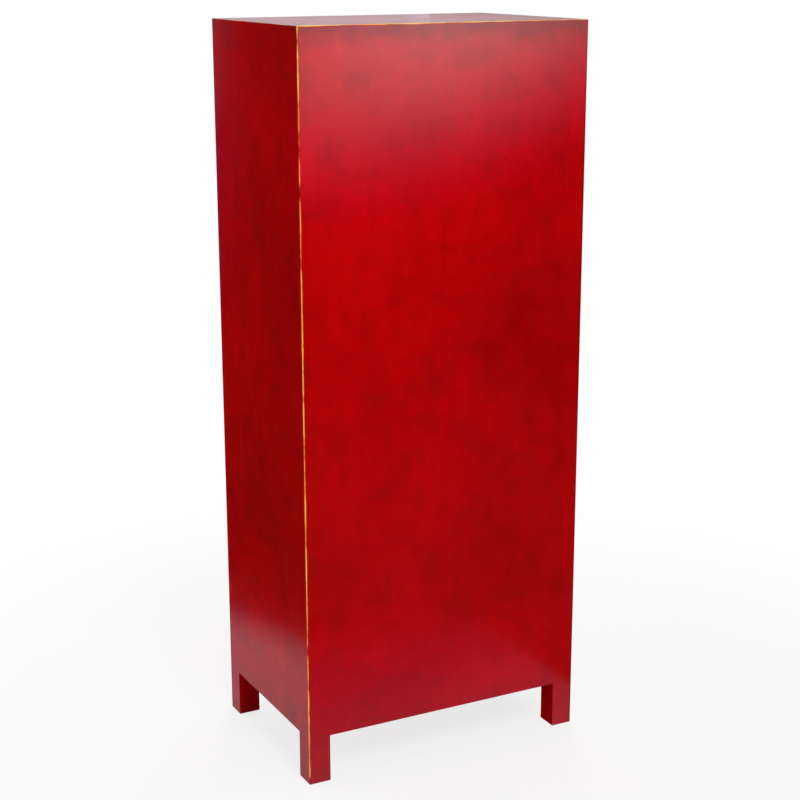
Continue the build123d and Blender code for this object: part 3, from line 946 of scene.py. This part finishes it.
def cloth(name, low, top, since=PALE_FROM, glow=None):
    """Cloth whose brightness turns from low to top above the height since, with a glow on it."""
    made, tree = material(name)
    axes = add(tree, "SeparateXYZ", {0: add(tree, "TexCoord").outputs["Object"]}).outputs
    bright = add(
        tree,
        "MapRange",
        {
            "Value": axes["Z"],
            "From Min": since,
            "From Max": PALE_FULL,
            "To Min": low,
            "To Max": top,
        },
    )
    shade = linear(CARD_TINT)
    if glow:
        up = add(tree, "Math", {0: axes["Z"], 1: glow["z"]}, operation="SUBTRACT")
        along = add(tree, "Math", {0: axes["X"], 1: glow["x"]}, operation="SUBTRACT")
        along = add(tree, "Math", {0: up, 1: glow["lean"], 2: along}, operation="MULTIPLY_ADD")
        offset = add(tree, "CombineXYZ", {"X": along, "Z": up})
        shrink = (1 / glow["half_wide"], 1.0, 1 / glow["half_high"])
        offset = add(tree, "VectorMath", {0: offset, 1: shrink}, operation="MULTIPLY")
        away = add(tree, "VectorMath", {0: offset}, operation="LENGTH").outputs["Value"]
        fade = add(tree, "MapRange", {"Value": away, "From Min": 1.0, "From Max": 0.0})
        under = add(
            tree, "MapRange", {"Value": axes["Z"], "From Min": GLOW_END, "From Max": GLOW_FULL}
        )
        inner = add(
            tree,
            "MapRange",
            {"Value": fade, "From Min": glow["fringe_end"], "From Max": glow["middle_start"]},
        )
        fringe, middle = linear(glow["fringe"]), linear(glow["middle"])
        patch = add(tree, "Mix", {"Factor": inner, "A": fringe, "B": middle}, data_type="RGBA")
        shade = add(tree, "Mix", {"Factor": under, "A": shade, "B": patch}, data_type="RGBA")
        fade = add(tree, "Math", {0: fade, 1: GLOW_FALL}, operation="POWER")
        fade = add(tree, "Math", {0: fade, 1: under}, operation="MULTIPLY")
        bright = add(
            tree, "Math", {0: fade, 1: glow["bright"], 2: bright}, operation="MULTIPLY_ADD"
        )
    close(tree, add(tree, "Emission", {"Color": shade, "Strength": bright}))
    return made


def fading(name, lean, near, far, bright, tint, fringe):
    """Glowing mat seen only in reflections, a painted reflection of the floor, that dims and turns
    from tint to fringe as its place along lean goes from near to far.
    """
    made, tree = material(name)
    place = add(tree, "TexCoord").outputs["Object"]
    away = add(tree, "VectorMath", {0: place, 1: lean}, operation="DOT_PRODUCT").outputs["Value"]
    turn = add(tree, "MapRange", {"Value": away, "From Min": near, "From Max": far})
    tint, fringe = linear(tint), linear(fringe)
    shade = add(tree, "Mix", {"Factor": turn, "A": tint, "B": fringe}, data_type="RGBA")
    dim = add(tree, "MapRange", {"Value": turn, "To Min": bright, "To Max": 0.0})
    close(tree, add(tree, "Emission", {"Color": shade, "Strength": dim}))
    return made


def card(name, corners, made):
    """A card out of the lens's sight that is only mirrored, to keep the lacquer deep."""
    shape = bmesh.new()
    bmesh.ops.contextual_create(shape, geom=[shape.verts.new(corner) for corner in corners])
    mesh = bpy.data.meshes.new(name)
    shape.to_mesh(mesh)
    shape.free()
    mesh.materials.append(made)
    thing = bpy.data.objects.new(name, mesh)
    thing.visible_camera = False
    thing.visible_diffuse = False
    thing.visible_shadow = False
    thing.visible_transmission = False
    bpy.context.scene.collection.objects.link(thing)


def standing(name, foot_a, foot_b, high, made):
    """A card that stands on the floor between two feet."""
    card(name, [(*foot_a, 0), (*foot_b, 0), (*foot_b, high), (*foot_a, high)], made)


def lying(name, corners, height, made):
    """A mat that lies at a height just over the floor."""
    card(name, [(x, y, height) for x, y in corners], made)


def rectangle(x_low, x_high, y_low, y_high):
    """Corners of a rectangle on the floor."""
    return [(x_low, y_low), (x_high, y_low), (x_high, y_high), (x_low, y_high)]


def lay_paper(tint):
    """Roll out the paper under the cabinet."""
    scene = bpy.context.scene
    shape = bmesh.new()
    bmesh.ops.create_grid(shape, x_segments=1, y_segments=1, size=FLOOR_HALF)
    mesh = bpy.data.meshes.new("studio_floor")
    shape.to_mesh(mesh)
    shape.free()
    floor = bpy.data.objects.new("studio_floor", mesh)
    scene.collection.objects.link(floor)
    mesh.materials.append(paper("seamless_paper", tint))


def fill_air(strength):
    """Give the room an even light from all round, white to the lens and in reflections."""
    world = bpy.data.worlds.new("studio_air")
    world.use_nodes = True
    tree = world.node_tree
    tree.nodes.clear()
    dim = add(tree, "Background", {"Color": (1, 1, 1, 1), "Strength": strength})
    white = add(tree, "Background", {"Color": (1, 1, 1, 1), "Strength": 1.0})
    mixed = add(tree, "MixShader", {0: seen_directly(tree), 1: dim, 2: white})
    add(tree, "OutputWorld", {"Surface": mixed})
    bpy.context.scene.world = world


def set_cards():
    """Stand the cards round the cabinet and lay the mats."""
    graded = cloth("graded_cloth", low=0.0, top=0.5, glow=BACK_GLOW)
    golden = cloth("golden_cloth", low=0.12, top=0.7, glow=FRONT_GLOW)
    black = cloth("black_cloth", low=0.0, top=0.7)
    standing("back_card", (-BACK_HALF, CARD_OFF), (BACK_HALF, CARD_OFF), CARD_HIGH, graded)
    for end, side in HANDS.items():
        near_foot, far_foot = [(side * x, y) for x, y in (SIDE_FRONT, SIDE_BACK)]
        standing(f"{end}_card", near_foot, far_foot, CARD_HIGH, black)

        glow = {**DUSK_GLOW, "x": side * DUSK_GLOW["x"]}
        dusk = cloth(f"{end}_dusk_cloth", low=0.0, top=0.7, since=DUSK_PALE_FROM, glow=glow)
        inner_foot, outer_foot = [(side * x, -CARD_OFF) for x in (FRONT_HALF, DUSK_END)]
        standing(f"{end}_front_card", inner_foot, outer_foot, CARD_HIGH, dusk)

        edge = side * HALF_WIDTH
        # Painted reflection of the floor in the sides, seen only in the lacquer.
        pale = fading(
            f"{end}_pale_mat",
            lean=(side, -0.33, 0.0),
            near=0.79,
            far=0.98,
            bright=0.51,
            tint="#F2F2FF",
            fringe="#B8C0FF",
        )
        corners = [(edge, BACK), (side * SIDE_MAT, BACK), near_foot, inner_foot, (edge, -CARD_OFF)]
        lying(f"{end}_mat", corners, LOW_MAT, pale)

        near_end, far_end = [(side * x, BACK + WING_BEHIND) for x in (WING_NEAR, WING_FAR)]
        standing(f"{end}_wing", near_end, far_end, WING_HIGH, black)
    standing("front_card", (-FRONT_HALF, -CARD_OFF), (FRONT_HALF, -CARD_OFF), CARD_HIGH, golden)

    # Painted reflection of the floor behind the back, dimming to deep blue away from the cabinet.
    blue = fading(
        "blue_mat",
        lean=(0.0, 1.0, 0.0),
        near=0.3,
        far=CARD_OFF,
        bright=0.74,
        tint="#E8E8FF",
        fringe="#0008FF",
    )
    lying("back_mat", rectangle(-BACK_MAT, BACK_MAT, BACK, CARD_OFF), MIDDLE_MAT, blue)
    # Black mats seen only in reflections: painted shadow on the floor behind the cabinet and under
    # it.
    dark = cloth("painted_shadow_mat", low=0.0, top=0.0)
    lying("far_shadow_mat", rectangle(-BACK_MAT, -FAR_MAT, BACK, CARD_OFF), HIGH_MAT, dark)
    lying("under_shadow_mat", rectangle(-HALF_WIDTH, HALF_WIDTH, FRONT, BACK), LOW_MAT, dark)


def set_camera(lens):
    """Stand the camera behind the cabinet, to one side and a little above its top."""
    scene = bpy.context.scene
    camera = bpy.data.cameras.new("studio_camera")
    camera.lens = lens
    camera.sensor_width = SENSOR
    thing = bpy.data.objects.new("studio_camera", camera)
    x, y, z = CAMERA_PLACE
    thing.location = (x, y + (FRONT + BACK) / 2, z)
    thing.rotation_euler = Euler([math.radians(turn) for turn in CAMERA_TURN], "XYZ")
    scene.collection.objects.link(thing)
    scene.camera = thing


class CABINET_OT_studio(bpy.types.Operator):
    """Set up the pale floor, the soft lamps, the cards and the camera"""

    bl_idname = "cabinet.studio"
    bl_label = "Studio"

    def execute(self, context):
        look = context.scene.cabinet_studio
        lay_paper(look.floor)
        fill_air(look.air)
        for name, (place, aim, side, power) in LAMPS.items():
            lamp(name, place, aim, side, look.key * power)
        set_cards()
        set_camera(look.lens)
        context.scene.view_settings.view_transform = "Standard"
        return {"FINISHED"}


# ---------------------------------------------------------------- add-on
OPERATORS = (
    CABINET_OT_lacquer_carcass,
    CABINET_OT_lacquer_front,
    CABINET_OT_wood_inside,
    CABINET_OT_lock_plates,
    CABINET_OT_hardware,
    CABINET_OT_studio,
)
SETTINGS = {
    "cabinet_lacquer": CabinetLacquer,
    "cabinet_wood": CabinetWood,
    "cabinet_brass": CabinetBrass,
    "cabinet_studio": CabinetStudio,
}


class CABINET_PT_sidebar(bpy.types.Panel):
    """The cabinet's settings and steps"""

    bl_idname = "CABINET_PT_sidebar"
    bl_label = "Wedding cabinet"
    bl_space_type = "VIEW_3D"
    bl_region_type = "UI"
    bl_category = "Cabinet"

    def draw(self, context):
        for name, group in SETTINGS.items():
            box = self.layout.box()
            for setting in group.__annotations__:
                box.prop(getattr(context.scene, name), setting)
        for operator in OPERATORS:
            self.layout.operator(operator.bl_idname)


def register():
    for group in SETTINGS.values():
        bpy.utils.register_class(group)
    for name, group in SETTINGS.items():
        setattr(bpy.types.Scene, name, bpy.props.PointerProperty(type=group))
    for operator in OPERATORS:
        bpy.utils.register_class(operator)
    bpy.utils.register_class(CABINET_PT_sidebar)


def unregister():
    bpy.utils.unregister_class(CABINET_PT_sidebar)
    for operator in reversed(OPERATORS):
        bpy.utils.unregister_class(operator)
    for name, group in SETTINGS.items():
        delattr(bpy.types.Scene, name)
        bpy.utils.unregister_class(group)


def main():
    """Dress the cabinet step by step."""
    register()
    bpy.ops.cabinet.lacquer_carcass()
    bpy.ops.cabinet.lacquer_front()
    bpy.ops.cabinet.wood_inside()
    bpy.ops.cabinet.lock_plates()
    bpy.ops.cabinet.hardware()
    bpy.ops.cabinet.studio()


if __name__ == "__main__":
    main()
